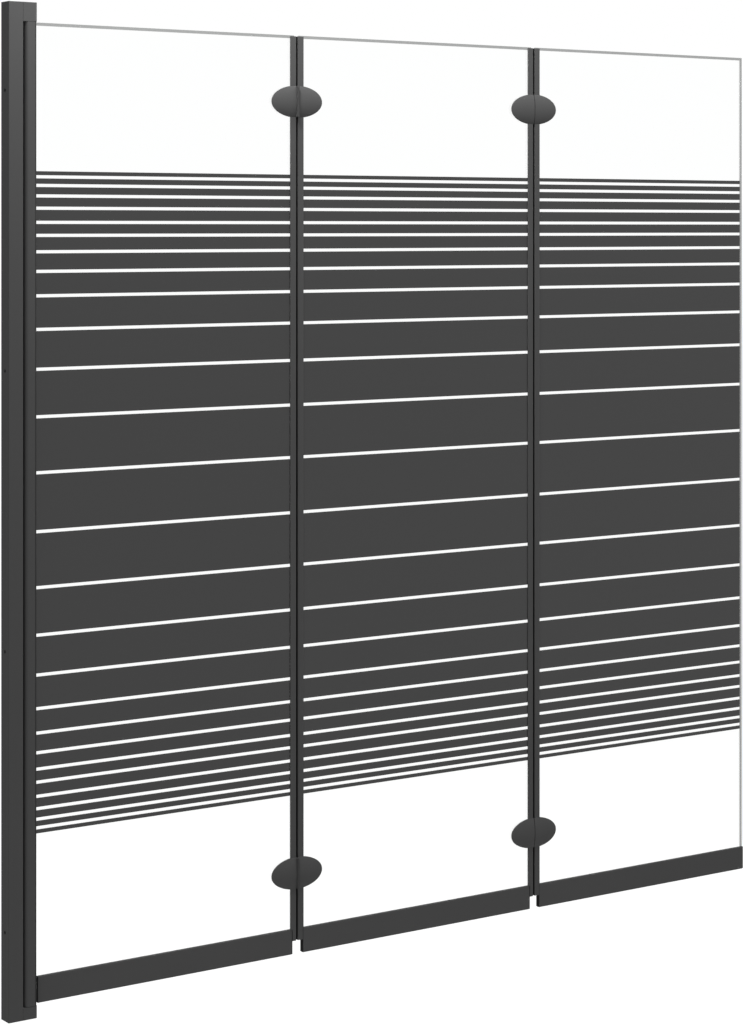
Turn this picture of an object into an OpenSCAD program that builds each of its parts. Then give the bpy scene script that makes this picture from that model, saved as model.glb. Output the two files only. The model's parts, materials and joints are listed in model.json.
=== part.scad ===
// Folding bath screen: a wall profile, a pivot post and three glass panels
// that fold on oval hinges. X runs out from the wall along the screen, -Y is
// the front, +Z is up. The origin lies on the wall face, in the middle of the
// profile's depth, at its bottom end. All sizes are in millimetres.

/* [Screen] */
// Width from the wall to the free edge
screen_w = 1321.5; // [1200:0.5:1500]
// Height of the wall profile
screen_h = 1380; // [1250:5:1600]
// Thickness of the glass
glass_t = 4; // [3:0.5:5]
// Glass edge above the bottom of the screen
glass_bottom = 37; // [35:0.5:44]
// Width of the bevel on the glass edges that show
bevel_w = 4.2; // [1:0.1:5]

/* [Wall profile] */
// Depth of the wall profile, front to back
profile_d = 24; // [23:0.5:30]
// Reach of the wall channel, out from the wall
channel_w = 21.3; // [20.5:0.1:26]
// Wall thickness of the channel
channel_t = 1.8; // [1.2:0.1:2.4]
// Corner radius of the extruded profiles
profile_r = 0.8; // [0.6:0.1:2]
// Height of the block at the top of the pivot
top_block_h = 26; // [22:0.5:34]
// Height of the block at the bottom of the pivot
bottom_block_h = 16.5; // [13:0.5:17.5]
// Radius of the holes for the wall screws
wall_hole_r = 2.5; // [2:0.1:3.5]
// Outer wall holes in from each end
wall_hole_inset = 120; // [80:5:200]
// Wall holes, evenly spaced
wall_hole_n = 4; // [2:1:6]
// Free depth between the wall web and the carrier
carrier_setback = 5.2; // [4.5:0.1:6.5]
// Wall thickness of the carrier
carrier_t = 1.6; // [1.2:0.1:2]
// Carrier face in from the channel's edge
carrier_recess = 1; // [0.5:0.1:1.6]
// Shank radius of the locking screws
lock_r = 1.8; // [1.4:0.1:2.2]
// Length of the locking screws
lock_l = 6; // [5:0.5:7]

/* [Pivot] */
// Clear slot between the channel and the post
slot_w = 3.3; // [3:0.1:4.5]
// Reach of the post beyond its pivot axis
post_flat = 5.6; // [5:0.1:6.5]
// Rounding of the post and the end blocks beside the glass
post_r = 3.5; // [2:0.1:4.5]
// Reach of the end blocks past the post
block_lip = 0.7; // [0.1:0.1:1.5]
// Wall thickness of the post
post_t = 1.8; // [1.4:0.1:2.2]
// Thickness of the gasket on each glass face
gasket_t = 1.2; // [1:0.1:1.6]
// Gasket lip out from the post
gasket_lip = 1; // [0.5:0.1:1.5]
// Setback of the dark seal from the profile's front
seal_setback = 6; // [3:0.1:6]
// Length of a stub shaft in its bush
shaft_l = 11; // [9:0.5:12]
// Wall thickness of the bushes
bush_t = 2; // [1.5:0.1:2.5]
// Thickness of the flange that the post turns on
bush_flange = 0.5; // [0.4:0.1:1]

/* [Panels] */
// Pivot axis to the first fold
first_panel = 424.1; // [380:0.1:460]
// Clear gap between the edge seals at a fold
joint_gap = 3.4; // [3:0.1:5]
// Width of an edge seal on the front
seal_w = 9.4; // [8:0.1:11]
// Width of an edge seal on the back
seal_back = 5; // [4:0.1:7]
// Thickness of an edge seal, front to back
seal_t = 8; // [7:0.1:8.6]
// Web of an edge seal beyond the glass
seal_web = 2; // [1.4:0.1:3]
// Glass standing above the edge seals
seal_drop = 1.3; // [0.5:0.1:3]
// Height of a bottom rail
rail_h = 35.4; // [30:0.1:40]
// Wall thickness of a rail
rail_t = 1.5; // [1.2:0.1:2]
// First rail's end out from the post
rail_start = 4.6; // [2:0.1:8]
// Rail end left of a fold, in from the fold line
rail_end_left = 7.8; // [6:0.1:9]
// Rail end right of a fold, out from the fold line
rail_end_right = 9.8; // [6:0.1:10.5]
// Reach of the wiper seal below the rail
wiper_drop = 0.7; // [0.5:0.1:2]
// Glass edge in from the rail's free end
free_edge_in = 0.8; // [0.6:0.1:2]

/* [Hinges] */
// Length of an oval hinge across the fold
hinge_w = 85.6; // [76:0.2:100]
// Height of an oval hinge
hinge_h = 46.8; // [42:0.2:60]
// Back plates smaller than the front ones, all round
back_inset = 4; // [0:0.5:5]
// Crown of the hinge from the middle of the glass
crown_h = 6.8; // [6.4:0.1:7.4]
// Rim of the hinge from the middle of the glass
rim_h = 3.8; // [3.4:0.1:4.4]
// Seam between the two halves of a hinge
seam_w = 1; // [0.8:0.1:1.4]
// Centre of the upper hinges below the top of the glass
hinge_from_top = 96.4; // [60:0.1:160]
// Centre of the lower hinges above the bottom of the glass
hinge_from_bottom = 97.9; // [60:0.1:160]
// Fold axis beyond the crown
axis_rise = 0.3; // [0.3:0.05:0.6]
// Outer radius of the hinge barrel
knuckle_r = 2; // [1.8:0.05:2.2]
// Knuckles in one barrel
knuckle_n = 5; // [3:2:7]
// Radius of the hinge pin
pin_r = 1; // [0.8:0.05:1.1]
// Thickness of the pads under the hinge plates
pad_t = 0.5; // [0.3:0.1:0.8]
// Hinge screws out from the fold line
screw_x = 20; // [18:0.5:24]
// Hinge screws up and down from the hinge centre
screw_z = 9; // [7:0.5:11]
// Shank radius of the hinge screws
screw_r = 1.8; // [1.4:0.1:2]

/* [Print] */
// Clear glass between the upper hinges and the print
print_below = 82.8; // [10:0.1:140]
// Clear glass between the lower hinges and the print
print_above = 90; // [10:0.1:140]
// Clear line between two bands. The lines and bands stretch with the print's height.
band_gap = 4.3; // [2:0.1:8]
// Height of the middle band
band_mid = 76; // [50:0.5:90]
// Heights of the next four bands, from the middle outwards
bands_wide = [72, 60.5, 50, 41.5]; // [30:0.5:80]
// Heights of the next four bands
bands_medium = [29, 22.5, 18, 13.5]; // [10:0.5:40]
// Heights of the next three bands
bands_narrow = [15, 12.5, 10]; // [6:0.5:20]
// Heights of the last two bands
bands_end = [7.5, 5.5]; // [3:0.5:10]
// Thickness of the print on the glass
print_t = 0.15; // [0.1:0.05:0.2]
// Clear margin beside the free edge's bevel
print_margin = 0.4; // [0.2:0.1:8]

/* [Colours] */
// Anthracite powder coat
coat_rgb = [0.24, 0.25, 0.26]; // [0:0.01:1]
// Grey edge seals
seal_rgb = [0.2, 0.21, 0.22]; // [0:0.01:1]
// Dark rubber and pads
rubber_rgb = [0.1, 0.1, 0.11]; // [0:0.01:1]
// Stainless pins, shafts and screws
steel_rgb = [0.72, 0.73, 0.75]; // [0:0.01:1]
// Pale bushes
bush_rgb = [0.85, 0.85, 0.83]; // [0:0.01:1]
// Printed bands
print_rgb = [0.17, 0.17, 0.18]; // [0:0.01:1]
// Clear glass
glass_rgba = [0.8, 0.9, 0.88, 0.35]; // [0:0.01:1]

/* [Hidden] */
$fn = 64;
// Clearance of parts that slide or seat in each other
fit = 0.1;
// Clearance between parts that move past each other
run_gap = 0.3;
// Radial clearance of a shaft or pin that turns
pin_fit = 0.05;
// Overlap that carries a cut past a face
past = 1;
// Depth of a screw's hexagon recess, and its size as a share of the screw
recess_d = 0.9;
recess_share = 0.7;
// Countersink's depth as a share of the channel's wall
sink_share = 0.8;

half_d = profile_d / 2;
half_glass = glass_t / 2;
half_seal = seal_t / 2;
bevel_d = 0.15 * glass_t;

// Places along the screen
pivot_x = channel_w + slot_w + half_d;
post_edge = pivot_x + post_flat;
block_edge = post_edge + block_lip;
first_fold = pivot_x + first_panel;
fold_x = [first_fold, (first_fold + screen_w) / 2];
glass_right = screen_w - free_edge_in;
seal_edge = joint_gap / 2 + seal_w;
glass_edge = joint_gap / 2 + seal_web;

// Levels
block_z = screen_h - top_block_h;
post_z0 = bottom_block_h + bush_flange;
post_z1 = block_z - run_gap;
glass_top = post_z1;
wiper_z0 = post_z0 + run_gap;
rail_bottom = wiper_z0 + wiper_drop;
rail_top = rail_bottom + rail_h;
seal_below = 0.3;
seal_z0 = glass_bottom - seal_below;
hinge_z = [glass_top - hinge_from_top, glass_bottom + hinge_from_bottom];
wall_pitch = (screen_h - 2 * wall_hole_inset) / (wall_hole_n - 1);
wall_levels = [for (i = [0 : wall_hole_n - 1]) wall_hole_inset + i * wall_pitch];
lock_levels = [screen_h / 6, screen_h / 2, screen_h * 5 / 6];

// Carrier inside the wall channel, and the clip of its seal
inner_half = half_d - channel_t - fit;
carrier_x0 = channel_t + carrier_setback;
carrier_x1 = channel_w - carrier_recess;
carrier_mid = (carrier_x0 + carrier_x1) / 2;
chamber_half = inner_half - carrier_t;
clip_t = 1.4;
clip_half = 3;
clip_neck = 1.5;
tongue_l = 20;
block_joint = 0.15;

// Post, its glazing groove and the round that it sweeps as it turns. The corners on the wall side are
// rounded until the square post clears the channel by the running gap.
groove_half = half_glass + gasket_t;
shaft_r = groove_half - 2 * fit;
groove_floor = 0.6;
groove_x = pivot_x - shaft_r - groove_floor;
post_sweep = half_d + slot_w - run_gap;
turn_r = half_d - (slot_w - run_gap) / (sqrt(2) - 1);
seal_r = post_sweep + run_gap;
bush_r = shaft_r + bush_t;
flange_rim = 2.5;
plug_h = 22;
plug_in = 0.5;
plug_x1 = post_edge - plug_in;
notch_x = plug_x1 + fit;
notch_z = post_z1 - plug_h - fit;

// Rail section and the wiper in its lower channel
rail_half = half_glass + rail_t;
rail_r = 0.8;
rail_lip = 1.2;
mouth_half = 1.2;
foot_t = 3;
seat_t = 2.5;
cap_t = 0.8;
cap_plug = 9;

// Edge seals: corner radii, and front and back of the lip over the gap
seal_r_web = 0.6;
seal_r_free = 0.4;
lip_y = [0.6, 1.8];

// Hinges: the dome is a slice of an ellipsoid centred on the far side of the glass
fold_y = crown_h + axis_rise;
dome_back = 8;
dome_y = crown_h + dome_back;
dome_q = sqrt(1 - pow((rim_h + dome_back) / dome_y, 2));
dome_a = hinge_w / 2 / dome_q;
dome_b = hinge_h / 2 / dome_q;
barrel_inset = 1.3;
knuckle_gap = 0.15;
pad_y = half_glass + pad_t;
pad_inset = 0.6;
skin_at_screw = dome_y * sqrt(1 - pow(screw_x / dome_a, 2) - pow(screw_z / dome_b, 2)) - dome_back;
head_rim = 1.5;
head_t = 1.5;
head_sink = 0.6;
tip_cover = 0.7;
sleeve_t = 1.8;
head_r = screw_r + head_rim;
head_top = skin_at_screw - head_sink;
head_seat = head_top - head_t;
screw_tip = skin_at_screw - tip_cover;
sleeve_r = screw_r + sleeve_t;

// Printed bands, from the middle outwards, and their stretch to the height between the hinges
outer_bands = concat(bands_wide, bands_medium, bands_narrow, bands_end);
print_z0 = hinge_z[1] + hinge_h / 2 + print_above;
print_z1 = hinge_z[0] - hinge_h / 2 - print_below;
print_mid = (print_z0 + print_z1) / 2;
drawn_h = band_mid + 2 * (sum_to(outer_bands, len(outer_bands)) + len(outer_bands) * band_gap);
print_stretch = (print_z1 - print_z0) / drawn_h;

SIDES = ["left", "right"];
FACES = ["front", "back"];
LEVELS = ["upper", "lower"];
PANELS = [1, 2, 3];
FOLDS = [1, 2];

// ---------- shared shapes ----------

// Rectangle from x = 0 to w, centred on Y, with its own corner radius at each end
module bar_2d(w, d, r_start, r_end) {
    translate([r_start, -d / 2]) square([w - r_start - r_end, d]);
    for (e = [[0, r_start, r_start], [w - r_end, r_end, w - r_end]])
        if (e[1] > 0) {
            translate([e[0], e[1] - d / 2]) square([e[1], d - 2 * e[1]]);
            for (s = [-1, 1]) translate([e[2], s * (d / 2 - e[1])]) circle(e[1]);
        }
}

// Box from one corner to the other
module span(a, b) {
    translate([min(a[0], b[0]), min(a[1], b[1]), min(a[2], b[2])])
        cube([abs(b[0] - a[0]), abs(b[1] - a[1]), abs(b[2] - a[2])]);
}

// Extrusion standing between two levels
module upright(z0, z1) {
    translate([0, 0, z0]) linear_extrude(z1 - z0) children();
}

// Round bar along Y, from y0 to y1
module bar_y(r, y0, y1) {
    translate([0, min(y0, y1), 0]) rotate([-90, 0, 0]) cylinder(r = r, h = abs(y1 - y0));
}

// Extrusion along X of a section drawn in Y and Z
module lengthwise(x0, x1) {
    translate([x0, 0, 0]) rotate([90, 0, 90]) linear_extrude(x1 - x0) children();
}

// Hexagon recess that opens to the back at y
module hex_recess(r, y) {
    translate([0, y - recess_d, 0]) rotate([-90, 0, 0])
        cylinder(r = r * recess_share, h = recess_d + past, $fn = 6);
}

// ---------- wall profile ----------

module wall_channel() {
    color(coat_rgb) difference() {
        upright(0, screen_h) difference() {
            bar_2d(channel_w, profile_d, profile_r, profile_r / 2);
            translate([channel_t, channel_t - half_d]) square([channel_w, profile_d - 2 * channel_t]);
        }
        for (z = wall_levels) translate([-past, 0, z])
            rotate([0, 90, 0]) cylinder(r = wall_hole_r, h = channel_t + 2 * past);
        for (z = lock_levels) translate([carrier_mid, 0, z]) {
            bar_y(lock_r + fit, inner_half - past, half_d + past);
            countersink(lock_r + fit);
        }
    }
}

// Countersink from the channel's back face down to a shank radius
module countersink(r) {
    depth = channel_t * sink_share;
    translate([0, half_d - depth, 0]) rotate([-90, 0, 0]) cylinder(r1 = r, r2 = r + depth, h = depth);
}

// Screws that lock the carrier in the channel once the width is set
module lock_screws() {
    color(steel_rgb) for (z = lock_levels) translate([carrier_mid, 0, z]) difference() {
        union() {
            bar_y(lock_r, half_d - lock_l, half_d);
            countersink(lock_r);
        }
        hex_recess(lock_r, half_d);
    }
}

// Extruded carrier: closed towards the wall, slotted for the seal's clip
module carrier() {
    depth = carrier_x1 - carrier_x0;
    color(coat_rgb) difference() {
        translate([carrier_x0, 0]) upright(bottom_block_h, block_z) difference() {
            bar_2d(depth, 2 * inner_half, 0, 0);
            translate([carrier_t, -chamber_half]) square([depth - 2 * carrier_t, 2 * chamber_half]);
            translate([depth - carrier_t - past, -clip_neck])
                square([carrier_t + 2 * past, 2 * clip_neck]);
        }
        for (z = lock_levels) translate([carrier_mid, 0, z])
            bar_y(lock_r + pin_fit, chamber_half - past, inner_half + past);
    }
}

// Dark seal behind the slot, hollowed to the round that the post sweeps
module pivot_seal() {
    seal_half = half_d - seal_setback;
    color(rubber_rgb) upright(bottom_block_h, block_z) {
        difference() {
            translate([carrier_x1, -seal_half]) square([pivot_x - carrier_x1, 2 * seal_half]);
            translate([pivot_x, 0]) circle(seal_r);
        }
        translate([carrier_x1 - carrier_t - fit, fit - clip_neck])
            square([carrier_t + 2 * fit, 2 * (clip_neck - fit)]);
        translate([carrier_x1 - carrier_t - clip_t, -clip_half]) square([clip_t, 2 * clip_half]);
    }
}

// End block: the body that shows, its root in the channel and a tongue in the carrier
module end_block(z0, z1, tongue_z0) {
    x0 = channel_w + block_joint;
    root_x0 = channel_t + fit;
    tongue_x0 = carrier_x0 + carrier_t + fit;
    tongue_x1 = carrier_x1 - carrier_t - clip_t - 2 * fit;
    upright(z0, z1) {
        translate([x0, 0]) bar_2d(block_edge - x0, profile_d, 0, post_r);
        translate([root_x0, -inner_half]) square([x0 - root_x0 + past, 2 * inner_half]);
    }
    span([tongue_x0, fit - chamber_half, tongue_z0],
         [tongue_x1, chamber_half - fit, tongue_z0 + tongue_l + past]);
}

module top_block() {
    color(coat_rgb) difference() {
        end_block(block_z, screen_h, block_z - tongue_l);
        translate([pivot_x, 0, block_z - past]) cylinder(r = bush_r, h = shaft_l + 2 * past);
    }
}

module bottom_block() {
    color(coat_rgb) difference() {
        end_block(0, bottom_block_h, bottom_block_h - past);
        translate([pivot_x, 0, bottom_block_h - shaft_l - past])
            cylinder(r = bush_r, h = shaft_l + 2 * past);
    }
}

// Bore through a bush, for its shaft
module bush_bore() {
    cylinder(r = shaft_r + pin_fit, h = 4 * shaft_l, center = true);
}

module top_bush() {
    color(bush_rgb) translate([pivot_x, 0, block_z]) difference() {
        cylinder(r = bush_r, h = shaft_l + past);
        bush_bore();
    }
}

module bottom_bush() {
    color(bush_rgb) translate([pivot_x, 0, bottom_block_h]) difference() {
        union() {
            translate([0, 0, -shaft_l - past]) cylinder(r = bush_r, h = shaft_l + past + bush_flange / 2);
            cylinder(r = bush_r + flange_rim, h = bush_flange);
        }
        bush_bore();
    }
}

// ---------- pivot post ----------

// Section of the post, shrunk by an inset, with its pivot axis at the origin
module post_outline(inset) {
    translate([inset - half_d, 0])
        bar_2d(half_d + post_flat - 2 * inset, 2 * (half_d - inset),
               max(turn_r - inset, fit), max(post_r - inset, fit));
}

module pivot_post() {
    color(coat_rgb) translate([pivot_x, 0]) upright(post_z0, post_z1) difference() {
        post_outline(0);
        // glazing groove
        translate([groove_x - pivot_x, -groove_half]) square([pivot_x, 2 * groove_half]);
        // hollow chamber round the groove
        difference() {
            post_outline(post_t);
            translate([groove_x - pivot_x - post_t, -groove_half - post_t])
                square([pivot_x, 2 * (groove_half + post_t)]);
        }
    }
}

// Plug in the post's groove with the shaft that turns in the bush
module stub(plug_z0, plug_z1, shaft_z0, shaft_z1) {
    color(steel_rgb) {
        span([groove_x + fit, fit - groove_half, plug_z0], [plug_x1, groove_half - fit, plug_z1]);
        translate([pivot_x, 0, shaft_z0]) cylinder(r = shaft_r, h = shaft_z1 - shaft_z0);
    }
}

module top_stub() {
    stub(post_z1 - plug_h, post_z1, post_z1 - plug_h, block_z + shaft_l);
}

module bottom_stub() {
    stub(post_z0, glass_bottom - fit, bottom_block_h - shaft_l, glass_bottom - fit);
}

// Gasket along the glass in the post, cut away beside the upper plug
module glazing_gasket() {
    lip_x = post_edge + gasket_lip;
    color(rubber_rgb) {
        upright(glass_bottom, notch_z) difference() {
            translate([groove_x, -groove_half]) square([lip_x - groove_x, 2 * groove_half]);
            translate([groove_x + gasket_t, -half_glass]) square([lip_x, glass_t]);
        }
        for (s = [-1, 1])
            span([notch_x, s * half_glass, notch_z - past], [lip_x, s * groove_half, post_z1]);
    }
}

// ---------- panels ----------

function glass_x0(p) = p == 1 ? groove_x + gasket_t : fold_x[p - 2] + glass_edge;
function glass_x1(p) = p == 3 ? glass_right : fold_x[p - 1] - glass_edge;
function rail_x0(p) = p == 1 ? post_edge + rail_start : fold_x[p - 2] + rail_end_right;
function rail_x1(p) = p == 3 ? screen_w : fold_x[p - 1] - rail_end_left;
function print_x0(p) = p == 1 ? post_edge + gasket_lip + fit : fold_x[p - 2] + seal_edge + fit;
function print_x1(p) = p == 3 ? glass_right - bevel_w - print_margin : fold_x[p - 1] - seal_edge - fit;

// Section of a pane from a to b, bevelled on both faces at b
module bevelled(a, b) {
    polygon([
        [a, -half_glass], [b - bevel_w, -half_glass], [b, bevel_d - half_glass],
        [b, half_glass - bevel_d], [b - bevel_w, half_glass], [a, half_glass]
    ]);
}

// Plan of a pane: the third is bevelled at its free edge too
module pane_plan(p) {
    if (p == 3) bevelled(glass_x0(p), glass_x1(p));
    else translate([glass_x0(p), -half_glass]) square([glass_x1(p) - glass_x0(p), glass_t]);
}

// Pane with the holes for its hinges. The first is notched at the upper plug.
module glass(p) {
    color(glass_rgba) difference() {
        intersection() {
            lengthwise(glass_x0(p), glass_x1(p)) rotate(90) bevelled(glass_bottom, glass_top);
            upright(0, screen_h) pane_plan(p);
        }
        if (p == 1)
            span([groove_x, -glass_t, notch_z], [notch_x, glass_t, glass_top + past]);
        for (f = FOLDS, s = [-1, 1])
            if (p == (s < 0 ? f : f + 1))
                at_screws(f, s) bar_y(sleeve_r + fit, -glass_t, glass_t);
    }
}

module band(p, z, h) {
    span([print_x0(p), -half_glass - print_t, z - h / 2], [print_x1(p), -half_glass, z + h / 2]);
}

function sum_to(v, n) = n <= 0 ? 0 : v[n - 1] + sum_to(v, n - 1);
function band_centre(i) = band_mid / 2 + sum_to(outer_bands, i) + (i + 1) * band_gap + outer_bands[i] / 2;

module print_bands(p) {
    color(print_rgb) {
        band(p, print_mid, print_stretch * band_mid);
        for (i = [0 : len(outer_bands) - 1], s = [-1, 1])
            band(p, print_mid + s * print_stretch * band_centre(i), print_stretch * outer_bands[i]);
    }
}

// Outline of a rail, rounded along its top
module rail_outline() {
    translate([-rail_half, rail_bottom]) square([2 * rail_half, rail_h - rail_r]);
    translate([rail_r - rail_half, rail_bottom]) square([2 * (rail_half - rail_r), rail_h]);
    for (s = [-1, 1]) translate([s * (rail_half - rail_r), rail_top - rail_r]) circle(rail_r);
}

// Rail section: glass slot on top, seat, and a lipped channel for the wiper
module rail_section() {
    slot_z = glass_bottom - seat_t;
    difference() {
        rail_outline();
        translate([-half_glass, glass_bottom]) square([glass_t, rail_h]);
        translate([-half_glass, rail_bottom + rail_lip])
            square([glass_t, slot_z - rail_bottom - rail_lip]);
        translate([-mouth_half, rail_bottom - past]) square([2 * mouth_half, rail_lip + 2 * past]);
    }
}

module rail(p) {
    color(coat_rgb) lengthwise(rail_x0(p) + cap_t, rail_x1(p) - cap_t) rail_section();
}

// Cap on one end of a rail, with a plug in its lower channel. Unless it closes the end, the glass
// passes through a notch in it.
module rail_cap(x, dir, closed) {
    plug_z0 = rail_bottom + rail_lip + foot_t + 2 * fit;
    lengthwise(min(x, x + dir * cap_t), max(x, x + dir * cap_t)) difference() {
        rail_outline();
        if (!closed)
            translate([-half_glass - fit, glass_bottom - fit]) square([glass_t + 2 * fit, rail_h]);
    }
    span([x, fit - half_glass, plug_z0],
         [x + dir * cap_plug, half_glass - fit, glass_bottom - seat_t - fit]);
}

module rail_caps(p) {
    color(rubber_rgb) {
        rail_cap(rail_x0(p), 1, false);
        rail_cap(rail_x1(p), -1, p == 3);
    }
}

// Wiper: a lip below the rail, a neck through its mouth and a foot inside
module wiper(p) {
    neck = mouth_half - fit;
    foot = half_glass - fit;
    foot_z = rail_bottom + rail_lip + fit;
    color(rubber_rgb) lengthwise(rail_x0(p) + cap_t, rail_x1(p) - cap_t) {
        translate([-foot - rail_t / 2, wiper_z0]) square([2 * foot + rail_t, wiper_drop]);
        translate([-neck, wiper_z0]) square([2 * neck, foot_z - wiper_z0 + fit]);
        translate([-foot, foot_z]) square([2 * foot, foot_t]);
    }
}

// Section of an edge seal: a web past the glass edge, a long front leg and a short back leg
module seal_section() {
    difference() {
        bar_2d(seal_w, seal_t, seal_r_web, seal_r_free);
        translate([seal_web, -half_glass]) square([seal_w, glass_t]);
        translate([seal_back, 0]) square([seal_w, seal_t]);
    }
}

// Edge seal, cut back over the rail's end. The left one of a fold carries
// the lip that bridges the gap.
module edge_seal(f, s) {
    z1 = glass_top - seal_drop;
    rail_end = s < 0 ? rail_end_left : rail_end_right;
    color(seal_rgb) translate([fold_x[f - 1], 0, 0]) {
        difference() {
            upright(seal_z0, z1) mirror([s < 0 ? 1 : 0, 0]) translate([joint_gap / 2, 0]) seal_section();
            span([s * (rail_end - fit), -seal_t, 0], [s * (seal_edge + past), seal_t, rail_top + fit]);
        }
        if (s < 0)
            span([-joint_gap / 2 - 2 * fit, lip_y[0], seal_z0], [joint_gap / 2 - run_gap, lip_y[1], z1]);
    }
}

// ---------- hinges ----------

// Place at the four screws that one edge of a panel has
module at_screws(f, s) {
    for (z = hinge_z, k = [-1, 1])
        translate([fold_x[f - 1] + s * screw_x, 0, z + k * screw_z]) children();
}

// Size of a plate under its front face's full oval, and how far out its seat over the seal reaches
function plate_inset(face) = face < 0 ? 0 : back_inset;
function seat_x(face) = joint_gap / 2 + (face < 0 ? seal_w : seal_back) + fit;

// Front to back prism of the oval outline, shrunk by an inset
module oval_prism(inset, y0, y1) {
    translate([0, max(y0, y1), 0]) rotate([90, 0, 0]) linear_extrude(abs(y1 - y0))
        scale([hinge_w / 2 - inset, hinge_h / 2 - inset]) circle(1);
}

// Domed oval on one face of the glass, before it is split
module dome(face) {
    intersection() {
        oval_prism(plate_inset(face), face * pad_y, face * (crown_h + past));
        translate([0, -face * dome_back, 0]) scale([dome_a, dome_y, dome_b]) sphere(1);
    }
}

// The first fold opens to the front, the second to the back
function fold_face(f) = f == 1 ? -1 : 1;

// Barrel on a plate: its length, its knuckles' pitch and the middles of one side's knuckles
function barrel_l(face) = hinge_h - 2 * plate_inset(face) - 2 * barrel_inset;
function knuckle_pitch(face) = barrel_l(face) / knuckle_n;
function knuckles(face, s) = [
    for (i = [0 : knuckle_n - 1])
        if ((i % 2 == 0) == (s < 0)) (i - (knuckle_n - 1) / 2) * knuckle_pitch(face)
];

module knuckle_at(face, z, r, l) {
    translate([0, face * fold_y, z - l / 2]) cylinder(r = r, h = l);
}

// Knuckles of one side, each on a web that grows out of its half
module barrel(face, s) {
    l = knuckle_pitch(face) - knuckle_gap;
    for (z = knuckles(face, s)) {
        knuckle_at(face, z, knuckle_r, l);
        span([s * seam_w / 2, face * half_seal, z - l / 2], [s * knuckle_r, face * fold_y, z + l / 2]);
    }
}

// One half of a hinge on one face. The face that folds inwards carries the barrel.
module hinge_half(f, z, face, s) {
    folds_in = face == fold_face(f);
    color(coat_rgb) translate([fold_x[f - 1], 0, z]) difference() {
        union() {
            intersection() {
                dome(face);
                span([s * seam_w / 2, -hinge_w, -hinge_h], [s * hinge_w, hinge_w, hinge_h]);
            }
            if (folds_in) barrel(face, s);
        }
        // seat over the edge seal
        span([0, 0, -hinge_h], [s * seat_x(face), face * half_seal, hinge_h]);
        if (folds_in) {
            for (k = knuckles(face, -s))
                knuckle_at(face, k, knuckle_r + run_gap, knuckle_pitch(face) + knuckle_gap);
            knuckle_at(face, 0, pin_r + pin_fit, hinge_h + 2 * past);
        }
        for (k = [-1, 1]) translate([s * screw_x, 0, k * screw_z])
            if (face < 0) bar_y(screw_r + pin_fit, 0, -screw_tip - fit);
            else {
                bar_y(screw_r + fit, 0, hinge_w);
                bar_y(head_r + fit, head_seat, hinge_w);
            }
    }
}

module hinge_pin(f, z) {
    face = fold_face(f);
    color(steel_rgb) translate([fold_x[f - 1], 0, z])
        knuckle_at(face, 0, pin_r, barrel_l(face) - barrel_inset);
}

// Pads on both glass faces, joined by the sleeves in the glass
module hinge_pads(f, s) {
    color(rubber_rgb) for (z = hinge_z) difference() {
        translate([fold_x[f - 1], 0, z]) {
            for (face = [-1, 1]) intersection() {
                oval_prism(plate_inset(face) + pad_inset, face * half_glass, face * pad_y);
                span([s * seat_x(face), -hinge_w, -hinge_h], [s * hinge_w, hinge_w, hinge_h]);
            }
            for (k = [-1, 1]) translate([s * screw_x, 0, k * screw_z])
                bar_y(sleeve_r, -half_glass - pad_t / 2, half_glass + pad_t / 2);
        }
        at_screws(f, s) bar_y(screw_r + fit, -hinge_w, hinge_w);
    }
}

// Screws from the back, through the glass, into the front half
module hinge_screws(f, s) {
    color(steel_rgb) at_screws(f, s) difference() {
        union() {
            bar_y(screw_r, -screw_tip, head_top);
            bar_y(head_r, head_seat, head_top);
        }
        hex_recess(head_r, head_top);
    }
}

// ---------- the whole screen ----------

wall_channel();
carrier();
pivot_seal();
top_block();
bottom_block();
top_bush();
bottom_bush();
lock_screws();
pivot_post();
top_stub();
bottom_stub();
glazing_gasket();
for (p = PANELS) {
    glass(p);
    print_bands(p);
    rail(p);
    rail_caps(p);
    wiper(p);
}
for (f = FOLDS, i = [0, 1]) {
    s = [-1, 1][i];
    side = SIDES[i];
    edge_seal(f, s);
    hinge_pads(f, s);
    hinge_screws(f, s);
    for (l = [0, 1], c = [0, 1])
        hinge_half(f, hinge_z[l], [-1, 1][c], s);
}
for (f = FOLDS, l = [0, 1])
    hinge_pin(f, hinge_z[l]);
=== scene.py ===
import json
import math

import bpy
import numpy as np
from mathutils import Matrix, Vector


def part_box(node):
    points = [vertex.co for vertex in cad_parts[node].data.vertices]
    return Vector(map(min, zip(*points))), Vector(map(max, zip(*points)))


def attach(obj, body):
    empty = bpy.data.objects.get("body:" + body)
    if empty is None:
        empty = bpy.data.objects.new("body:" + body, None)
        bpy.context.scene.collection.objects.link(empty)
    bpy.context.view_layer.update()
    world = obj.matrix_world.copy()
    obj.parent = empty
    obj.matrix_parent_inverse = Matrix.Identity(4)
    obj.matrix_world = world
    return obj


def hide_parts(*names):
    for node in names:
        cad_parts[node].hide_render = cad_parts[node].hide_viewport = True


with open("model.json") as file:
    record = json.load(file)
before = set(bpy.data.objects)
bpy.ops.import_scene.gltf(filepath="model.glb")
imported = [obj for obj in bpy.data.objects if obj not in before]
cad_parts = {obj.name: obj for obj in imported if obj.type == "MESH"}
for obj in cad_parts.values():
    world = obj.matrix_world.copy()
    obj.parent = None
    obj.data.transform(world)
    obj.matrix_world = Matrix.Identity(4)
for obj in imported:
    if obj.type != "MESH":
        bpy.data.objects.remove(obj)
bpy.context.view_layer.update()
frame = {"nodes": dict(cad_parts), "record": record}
NODES = frame["nodes"]
MM = 0.001

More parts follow.
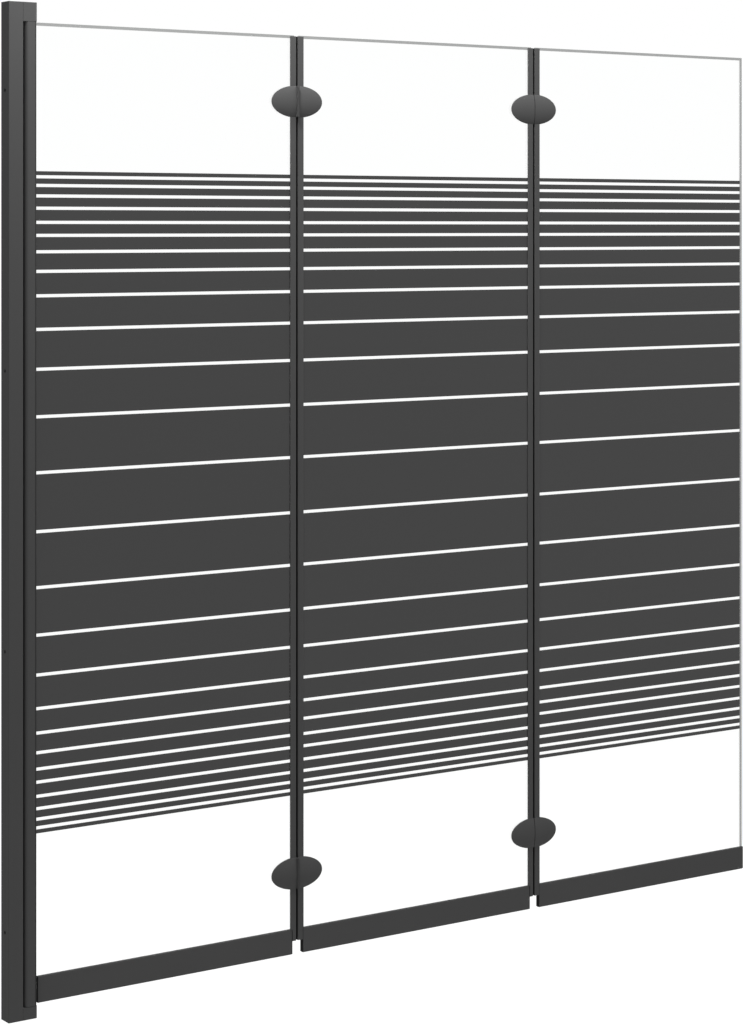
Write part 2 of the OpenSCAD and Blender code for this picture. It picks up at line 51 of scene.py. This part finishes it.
# Camera: size of its picture, focal length and optical middle in pixels, place in metres, turn about the
# vertical in radians, sensor in millimetres, nearest and farthest sight in metres
PICTURE_W, PICTURE_H = 743, 1024
FOCAL = 2576.6
MIDDLE_X, MIDDLE_Y = 469.8, 227.3
CAMERA_PLACE = (-1.5058, -3.2070, 1.0745)
CAMERA_TURN = -0.6175
SENSOR_W = 36.0
NEAR, FAR = 0.1, 200

# Room: grey level of the world's light, then the floor's height in millimetres, half its side in metres,
# its tone, its glow where it is seen straight, and the glow's share there
AMBIENT = 0.575
FLOOR_Z = -600
FLOOR_HALF = 30.0
FLOOR_TONE = 0.85
FLOOR_GLOW = 1.09
GLOW_SHARE = 0.85

# Lamps: name, place, target and size in metres, then watts
LAMPS = (
    ("top strip", (1.0, -0.2, 2.0), (1.0, -0.2, 0.0), (2.0, 0.06), 26.5),
    ("top end", (0.125, -0.2, 2.0), (0.125, -0.2, 0.0), (0.25, 0.06), 12),
    ("back fill", (0.7, 3.0, 2.4), (0.7, 0.0, 0.7), (2.5, 2.5), 40),
)

# Colours of the finishes
COAT = (0.068, 0.068, 0.068)
BLACK = (0.008, 0.008, 0.008)
PAD_GREY = (0.02, 0.02, 0.02)
PRINT_GREY = (0.0205, 0.0205, 0.0205)
BUSH_WHITE = (0.7, 0.7, 0.66)
SHAFT_STEEL = (0.6, 0.61, 0.62)
DARK_STEEL = (0.05, 0.05, 0.05)
SCREW_STEEL = (0.58, 0.59, 0.6)
GROUND_GREY = (0.1, 0.105, 0.102)
GLASS_TINT = (0.993, 0.998, 0.996)
GLASS_SHADOW = (0.94, 0.96, 0.95)
GLASS_IOR = 1.5

# Stretch of the grain: lines that run up a drawn profile, and rings round a turned pin
DRAWN = (1, 1, 0.01)
TURNED = (0.05, 0.05, 1)

# Broad wander of every surface: scale, detail and roughness of its noise. Then the depth of a full relief
# in metres, and the rays that each softened edge casts
BROAD_NOISE = (9.0, 3.0, 0.55)
RELIEF_DEPTH = 0.0001
EDGE_RAYS = 4

# Zones of painted shade in millimetres, and the share of the colour that stays there: the post's rounded
# corner beside the glass, the barrel that stands above a hinge's crown, and the joint between two edge
# seals.
# PAST reaches beyond the last face, or below the middle.
POST_CORNER, POST_SHADE_SHARE = 3.3, 0.5
HINGE_CROWN, HINGE_PAST, BARREL_SHADE_SHARE = 6.85, 20.0, 0.75
JOINT_DEPTH, JOINT_SHADE_SHARE = 1.9, 0.2
PAST = 1.0

# Panes, in millimetres: width and depth of a ground bevel, the film of air to pads and seals, and how far
# the front face sinks into the fired print
BEVEL_W = 4.2
BEVEL_D = 0.6
AIR = 0.02
BOND = 0.02


# ---------- helpers for objects and nodes ----------


def add_object(name, data):
    obj = bpy.data.objects.new(name, data)
    bpy.context.scene.collection.objects.link(obj)
    return obj


def new_material(name):
    made = bpy.data.materials.new(name)
    made.use_nodes = True
    return made, made.node_tree


def new_group(name, inputs, outputs):
    """Empty shader group with named sockets. Inputs are (name, kind, default), outputs (name, kind)."""
    group = bpy.data.node_groups.new(name, "ShaderNodeTree")
    for label, kind, default in inputs:
        socket = group.interface.new_socket(
            label, in_out="INPUT", socket_type=f"NodeSocket{kind}"
        )
        socket.default_value = default
    for label, kind in outputs:
        group.interface.new_socket(label, in_out="OUTPUT", socket_type=f"NodeSocket{kind}")
    return group, group.nodes.new("NodeGroupInput"), group.nodes.new("NodeGroupOutput")


def feed(tree, socket, value):
    """Links another node's output to the socket, or sets the socket to a plain value."""
    if isinstance(value, bpy.types.NodeSocket):
        tree.links.new(value, socket)
    else:
        socket.default_value = value


def math_node(tree, operation, *values, clamp=False):
    node = tree.nodes.new("ShaderNodeMath")
    node.operation = operation
    node.use_clamp = clamp
    for socket, value in zip(node.inputs, values):
        feed(tree, socket, value)
    return node.outputs[0]


def vector_node(tree, operation, a, b):
    node = tree.nodes.new("ShaderNodeVectorMath")
    node.operation = operation
    feed(tree, node.inputs[0], a)
    feed(tree, node.inputs["Scale" if operation == "SCALE" else 1], b)
    return node.outputs["Value" if operation == "DOT_PRODUCT" else "Vector"]


def noise(tree, vector, scale, detail=2.0, roughness=0.5):
    node = tree.nodes.new("ShaderNodeTexNoise")
    node.inputs["Detail"].default_value = detail
    node.inputs["Roughness"].default_value = roughness
    feed(tree, node.inputs["Vector"], vector)
    feed(tree, node.inputs["Scale"], scale)
    return node.outputs["Fac"]


# ---------- camera, room and lamps ----------


def aim_camera():
    """Level camera in front of the wall profile. The lens shift takes in the height without tilting."""
    data = bpy.data.cameras.new("camera")
    data.sensor_fit = "HORIZONTAL"
    data.sensor_width = SENSOR_W
    data.lens = SENSOR_W * FOCAL / PICTURE_W
    data.shift_x = (PICTURE_W / 2 - MIDDLE_X) / PICTURE_W
    data.shift_y = (MIDDLE_Y - PICTURE_H / 2) / PICTURE_W
    data.clip_start, data.clip_end = NEAR, FAR
    camera = add_object("camera", data)
    camera.location = CAMERA_PLACE
    camera.rotation_euler = (math.radians(90), 0, CAMERA_TURN)
    bpy.context.scene.camera = camera


def seen_straight(tree):
    """1 for camera, glossy and transmission rays, 0 for the rays that light the object."""
    path = tree.nodes.new("ShaderNodeLightPath")
    total = path.outputs["Is Camera Ray"]
    for name in ("Is Glossy Ray", "Is Transmission Ray"):
        total = math_node(tree, "MAXIMUM", total, path.outputs[name])
    return total


def set_world():
    """White where it is seen, a plain grey level where it lights."""
    world = bpy.data.worlds.new("studio")
    bpy.context.scene.world = world
    world.use_nodes = True
    tree = world.node_tree
    level = tree.nodes.new("ShaderNodeMapRange")
    level.inputs["To Min"].default_value = AMBIENT
    level.inputs["To Max"].default_value = 1.0
    tree.links.new(seen_straight(tree), level.inputs["Value"])
    back = tree.nodes["Background"]
    back.inputs["Color"].default_value = (1, 1, 1, 1)
    tree.links.new(level.outputs[0], back.inputs["Strength"])


def lay_floor():
    """Pale floor at the height that a bath's rim stands over, white to the eye apart from shadows."""
    made, tree = new_material("pale floor")
    tree.nodes.clear()
    matt = tree.nodes.new("ShaderNodeBsdfDiffuse")
    matt.inputs["Color"].default_value = (FLOOR_TONE, FLOOR_TONE, FLOOR_TONE, 1)
    glow = tree.nodes.new("ShaderNodeEmission")
    glow.inputs["Strength"].default_value = FLOOR_GLOW
    mix = tree.nodes.new("ShaderNodeMixShader")
    out = tree.nodes.new("ShaderNodeOutputMaterial")
    tree.links.new(math_node(tree, "MULTIPLY", seen_straight(tree), GLOW_SHARE), mix.inputs[0])
    tree.links.new(matt.outputs[0], mix.inputs[1])
    tree.links.new(glow.outputs[0], mix.inputs[2])
    tree.links.new(mix.outputs[0], out.inputs[0])
    mesh = bpy.data.meshes.new("floor")
    corners = np.array([[-1, -1], [1, -1], [1, 1], [-1, 1]]) * FLOOR_HALF
    mesh.from_pydata([(x, y, FLOOR_Z * MM) for x, y in corners], [], [(0, 1, 2, 3)])
    mesh.materials.append(made)
    add_object("floor", mesh)


def hang_lamp(name, place, target, size, watts):
    """Rectangular lamp at place, facing target. It shows in reflections, but not to the eye itself."""
    data = bpy.data.lights.new(name, "AREA")
    data.shape = "RECTANGLE"
    data.size, data.size_y = size
    data.energy = watts
    lamp = add_object(name, data)
    lamp.location = place
    way = np.array(target, float) - np.array(place, float)
    lamp.rotation_mode = "QUATERNION"
    lamp.rotation_quaternion = Vector(way).to_track_quat("-Z", "Y")
    lamp.visible_camera = False
    lamp.visible_transmission = False


# ---------- shader groups ----------


def make_surface_group():
    """Grain of a finished surface: tone and gloss that wander a little, a fine relief, softened edges."""
    group, given, out = new_group(
        "surface grain",
        [
            ("Color", "Color", (0.5, 0.5, 0.5, 1)),
            ("Tone", "Float", 0.05),
            ("Roughness", "Float", 0.5),
            ("Gloss change", "Float", 0.05),
            ("Grain scale", "Float", 900.0),
            ("Relief", "Float", 0.02),
            ("Stretch", "Vector", (1, 1, 1)),
            ("Edge radius", "Float", 0.0003),
        ],
        [("Color", "Color"), ("Roughness", "Float"), ("Normal", "Vector")],
    )
    place = group.nodes.new("ShaderNodeTexCoord").outputs["Object"]
    stretched = vector_node(group, "MULTIPLY", place, given.outputs["Stretch"])
    fine = noise(group, stretched, given.outputs["Grain scale"])
    broad = noise(group, place, *BROAD_NOISE)

    # colour times 1 + tone * (fine + broad - 1)
    both = math_node(group, "SUBTRACT", math_node(group, "ADD", fine, broad), 1.0)
    swing = math_node(group, "MULTIPLY", both, given.outputs["Tone"])
    factor = math_node(group, "ADD", swing, 1.0)
    shade = vector_node(group, "SCALE", given.outputs["Color"], factor)
    group.links.new(shade, out.inputs["Color"])

    # roughness plus gloss change * (broad - 0.5)
    lean = math_node(group, "SUBTRACT", broad, 0.5)
    change = math_node(group, "MULTIPLY", lean, given.outputs["Gloss change"])
    rough = math_node(group, "ADD", change, given.outputs["Roughness"], clamp=True)
    group.links.new(rough, out.inputs["Roughness"])

    edge = group.nodes.new("ShaderNodeBevel")
    edge.samples = EDGE_RAYS
    group.links.new(given.outputs["Edge radius"], edge.inputs["Radius"])
    bump = group.nodes.new("ShaderNodeBump")
    bump.inputs["Distance"].default_value = RELIEF_DEPTH
    group.links.new(given.outputs["Relief"], bump.inputs["Strength"])
    group.links.new(fine, bump.inputs["Height"])
    group.links.new(edge.outputs[0], bump.inputs["Normal"])
    group.links.new(bump.outputs[0], out.inputs["Normal"])
    return group


def make_range_group():
    """Mask of the zone where the distance along Axis, to either side, lies between From and To."""
    group, given, out = new_group(
        "range along an axis",
        [("Axis", "Vector", (0, 1, 0)), ("From", "Float", 0.0), ("To", "Float", 0.001)],
        [("Mask", "Float")],
    )
    place = group.nodes.new("ShaderNodeTexCoord").outputs["Object"]
    along = vector_node(group, "DOT_PRODUCT", place, given.outputs["Axis"])
    distance = math_node(group, "ABSOLUTE", along)
    past_from = math_node(group, "GREATER_THAN", distance, given.outputs["From"])
    before_to = math_node(group, "LESS_THAN", distance, given.outputs["To"])
    group.links.new(math_node(group, "MULTIPLY", past_from, before_to), out.inputs["Mask"])
    return group


SURFACE = make_surface_group()
RANGE = make_range_group()


# ---------- finishes ----------


def finish_of(name, color, roughness, specular=0.5, metallic=0.0, alpha=1.0, **grain):
    """Material of one finish: the surface grain group feeds a Principled shader."""
    made, tree = new_material(name)
    shader = tree.nodes["Principled BSDF"]
    shader.inputs["Metallic"].default_value = metallic
    shader.inputs["Specular IOR Level"].default_value = specular
    shader.inputs["Alpha"].default_value = alpha
    group = tree.nodes.new("ShaderNodeGroup")
    group.node_tree = SURFACE
    group.inputs["Color"].default_value = (*color, 1)
    group.inputs["Roughness"].default_value = roughness
    for label, value in grain.items():
        group.inputs[label.replace("_", " ").capitalize()].default_value = value
    tree.links.new(group.outputs["Color"], shader.inputs["Base Color"])
    tree.links.new(group.outputs["Roughness"], shader.inputs["Roughness"])
    tree.links.new(group.outputs["Normal"], shader.inputs["Normal"])
    return made


def paint_shade_range(made, start, end, share, axis=(0, 1, 0)):
    """Painted shade: scales a finish's colour by share where the distance along axis lies from start to
    end, in mm.
    """
    tree = made.node_tree
    base = tree.nodes["Principled BSDF"].inputs["Base Color"]
    color = base.links[0].from_socket
    group = tree.nodes.new("ShaderNodeGroup")
    group.node_tree = RANGE
    group.inputs["Axis"].default_value = axis
    group.inputs["From"].default_value = start * MM
    group.inputs["To"].default_value = end * MM
    # 1 outside the range, share inside it
    factor = math_node(tree, "MULTIPLY_ADD", group.outputs["Mask"], share - 1.0, 1.0)
    tree.links.new(vector_node(tree, "SCALE", color, factor), base)


def clear_glass():
    """Clear glass with a trace of green. It lets lamp light through to what stands behind it."""
    made, tree = new_material("clear glass")
    shader = tree.nodes["Principled BSDF"]
    shader.inputs["Base Color"].default_value = (*GLASS_TINT, 1)
    shader.inputs["Roughness"].default_value = 0.0
    shader.inputs["IOR"].default_value = GLASS_IOR
    shader.inputs["Transmission Weight"].default_value = 1.0
    path = tree.nodes.new("ShaderNodeLightPath")
    through = tree.nodes.new("ShaderNodeBsdfTransparent")
    through.inputs["Color"].default_value = (*GLASS_SHADOW, 1)
    mix = tree.nodes.new("ShaderNodeMixShader")
    tree.links.new(path.outputs["Is Shadow Ray"], mix.inputs[0])
    tree.links.new(shader.outputs[0], mix.inputs[1])
    tree.links.new(through.outputs[0], mix.inputs[2])
    tree.links.new(mix.outputs[0], tree.nodes["Material Output"].inputs["Surface"])
    return made


def make_finishes():
    """Finishes of the record's slots, and of the post and the panes' ground edges."""
    coat = dict(roughness=0.6, specular=0.015, tone=0.06, grain_scale=1400.0, relief=0.25)
    moulding = dict(roughness=0.65, specular=0.015, tone=0.08, grain_scale=2500.0, relief=0.4)
    cast = dict(roughness=0.55, specular=0.02, tone=0.05, grain_scale=1400.0, relief=0.2)
    drawn = dict(roughness=0.6, specular=0.015, tone=0.06, grain_scale=1200.0, relief=0.3, stretch=DRAWN)
    dark = dict(specular=0.06, tone=0.2, relief=0.4)
    pad = dict(roughness=0.8, specular=0.2, tone=0.2, grain_scale=1500.0, relief=0.4)
    bearing = dict(roughness=0.45, tone=0.04, grain_scale=900.0, relief=0.1)
    steel = dict(metallic=1.0, tone=0.1, grain_scale=3000.0)
    turned = dict(relief=0.3, stretch=TURNED, **steel)
    fired = dict(roughness=0.15, tone=0.05, grain_scale=4000.0, relief=0.1, edge_radius=0.0)
    ground = dict(roughness=0.5, specular=0.2, alpha=0.48, tone=0.15, grain_scale=2500.0, relief=0.4)
    made = {
        "coated_aluminium": finish_of("powder coat", COAT, **coat),
        "pivot_post": finish_of("post coat", COAT, **coat),
        "moulded_block": finish_of("textured moulding", COAT, **moulding),
        "hinge_plate": finish_of("cast coat", COAT, **cast),
        "edge_seal": finish_of("grey profile", COAT, **drawn),
        "dark_seal": finish_of("black rubber", BLACK, roughness=0.75, grain_scale=1500.0, **dark),
        "rail_cap": finish_of("black moulding", BLACK, roughness=0.65, grain_scale=1800.0, **dark),
        "hinge_pad": finish_of("thin pad", PAD_GREY, **pad),
        "bush": finish_of("bearing plastic", BUSH_WHITE, **bearing),
        "steel": finish_of("turned steel", SHAFT_STEEL, roughness=0.28, **turned),
        "pin_steel": finish_of("blackened steel", DARK_STEEL, roughness=0.5, specular=0.2, **turned),
        "screw_steel": finish_of("screw steel", SCREW_STEEL, roughness=0.3, relief=0.2, **steel),
        "print": finish_of("ceramic print", PRINT_GREY, **fired),
        "ground_edge": finish_of("ground glass edge", GROUND_GREY, edge_radius=0.0, **ground),
        "glass": clear_glass(),
    }
    post_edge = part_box("pivot_post")[1][0] / MM
    corner = (post_edge - POST_CORNER, post_edge + PAST)
    # painted shade on the post's rounded corner beside the glass
    paint_shade_range(made["pivot_post"], *corner, POST_SHADE_SHARE, axis=(1, 0, 0))
    # painted shade on the barrel that stands above each hinge's crown
    paint_shade_range(made["hinge_plate"], HINGE_CROWN, HINGE_PAST, BARREL_SHADE_SHARE)
    # painted shade in the joint between two edge seals
    paint_shade_range(made["edge_seal"], -PAST, JOINT_DEPTH, JOINT_SHADE_SHARE)
    return made


FINISH = make_finishes()


def dress_cad_nodes():
    """Gives each CAD node its own finish where it has one, else the finish of its slot in the record."""
    slot_of = {part["node"]: part["material_slot"] for part in frame["record"]["subparts"]}
    for name, obj in NODES.items():
        obj.data.materials.clear()
        obj.data.materials.append(FINISH.get(name, FINISH[slot_of[name]]))


# ---------- glass panes ----------


def pane_surface(low, high, bevels):
    """Pane with a flat bevel on the sides that show.

    The edge profile runs from the front face down its bevel, across the ground edge and up the second
    bevel to the back face. It is carried round the rectangle: at each of its points the four corners
    move in by that point's share of the bevel of the two sides that meet there. A side of no bevel
    stays upright.
    """
    share = np.array([1.0, 0.5, 0.0, 0.0, 0.5, 1.0])
    drop = BEVEL_D * MM * (1 - share[:3])
    depth = np.concatenate([low[1] + drop, high[1] - drop[::-1]])
    left, right, bottom, top = np.array(bevels) * MM
    corner = np.array([[low[0], low[2]], [high[0], low[2]], [high[0], high[2]], [low[0], high[2]]])
    inward = np.array([[left, bottom], [-right, bottom], [-right, -top], [left, -top]])
    ring = corner[None] + share[:, None, None] * inward[None]
    rows, cols = ring.shape[:2]
    points = np.stack([ring[..., 0], np.broadcast_to(depth[:, None], (rows, cols)), ring[..., 1]], -1)
    i, j = np.meshgrid(np.arange(rows - 1), np.arange(cols), indexing="ij")
    k = (j + 1) % cols
    sides = np.stack([i * cols + j, (i + 1) * cols + j, (i + 1) * cols + k, i * cols + k], -1)
    front = np.array([[0, 1, 2, 3]])
    back = (rows - 1) * cols + np.array([[3, 2, 1, 0]])
    return points.reshape(-1, 3), np.concatenate([sides.reshape(-1, 4), front, back])


def mount_pane(number):
    """Replaces a CAD pane by one with ground bevels along the top and, on the third, the free edge."""
    low, high = (np.array(corner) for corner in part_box(f"glass_{number}"))
    # the front face bonds into the fired print, and a film of air keeps the others off pads and seals
    low, high = low + np.array([AIR, -BOND, AIR]) * MM, high - AIR * MM
    # bevels of the left, right, bottom and top sides
    bevels = (0, BEVEL_W if number == 3 else 0, 0, BEVEL_W)
    points, faces = pane_surface(low, high, bevels)
    mesh = bpy.data.meshes.new(f"pane_{number}")
    mesh.from_pydata(points.tolist(), [], faces.tolist())
    mesh.materials.append(FINISH["glass"])
    mesh.materials.append(FINISH["ground_edge"])
    # side faces go round by the bottom, right, top and left, and the last two are front and back
    ground = np.resize(np.array(bevels)[[2, 1, 3, 0]] > 0, len(faces))
    ground[-2:] = False
    mesh.polygons.foreach_set("material_index", ground.astype(np.int32))
    pane = add_object(f"pane_{number}", mesh)
    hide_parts(f"glass_{number}")
    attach(pane, f"panel_{number}")


# ---------- the whole scene ----------

bpy.context.scene.view_settings.view_transform = "Standard"
aim_camera()
set_world()
lay_floor()
for lamp_row in LAMPS:
    hang_lamp(*lamp_row)
dress_cad_nodes()
for pane_number in (1, 2, 3):
    mount_pane(pane_number)
